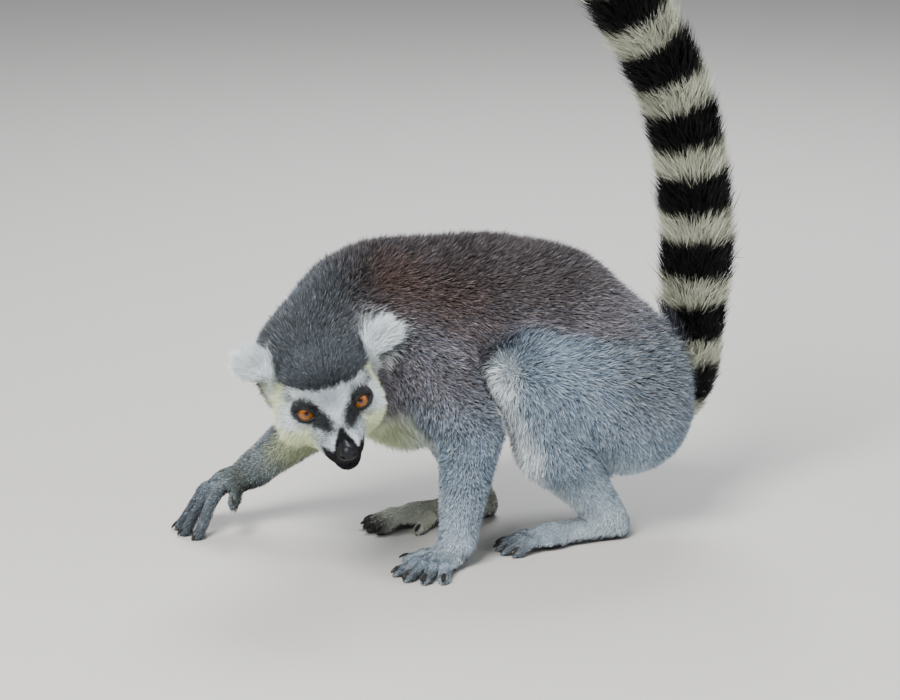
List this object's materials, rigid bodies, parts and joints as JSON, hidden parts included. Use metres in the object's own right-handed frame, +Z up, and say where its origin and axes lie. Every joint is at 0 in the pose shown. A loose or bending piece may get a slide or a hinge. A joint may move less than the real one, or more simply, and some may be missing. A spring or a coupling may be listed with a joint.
{
  "type": "ring-tailed lemur",
  "caption": "Life-size ring-tailed lemur crouching on all fours, head low and turned to its left, banded tail raised, as a still model",
  "frame": {"origin": "the middle of the footprint of its box, on the floor it stands on", "axes": "+Z up, -X towards the shoulders and right hand, +X towards the rump and tail, -Y the animal's left side"},
  "size_m": [0.4154, 0.2366, 0.5815],
  "materials": {
    "grey_fur": "dense soft fur",
    "white_fur": "dense soft fur",
    "ringed_fur": "long fur in black and white bands",
    "dark_skin": "bare damp skin",
    "eye": "wet orange iris"
  },
  "bodies": {
    "root": {"head": "grey_fur", "nose": "dark_skin", "eye_left": "eye", "eye_right": "eye", "ear_left": "white_fur", "ear_right": "white_fur", "neck": "grey_fur", "chest": "grey_fur", "loins": "grey_fur", "rump": "grey_fur", "upper_arm_left": "grey_fur", "forearm_left": "grey_fur", "hand_left": "grey_fur", "upper_arm_right": "grey_fur", "forearm_right": "grey_fur", "hand_right": "grey_fur", "thigh_left": "grey_fur", "shank_left": "grey_fur", "foot_left": "grey_fur", "thigh_right": "grey_fur", "shank_right": "grey_fur", "foot_right": "grey_fur", "tail_1": "ringed_fur", "tail_2": "ringed_fur", "tail_3": "ringed_fur", "tail_4": "ringed_fur", "tail_5": "ringed_fur", "tail_6": "ringed_fur"}
  },
  "joints": []
}
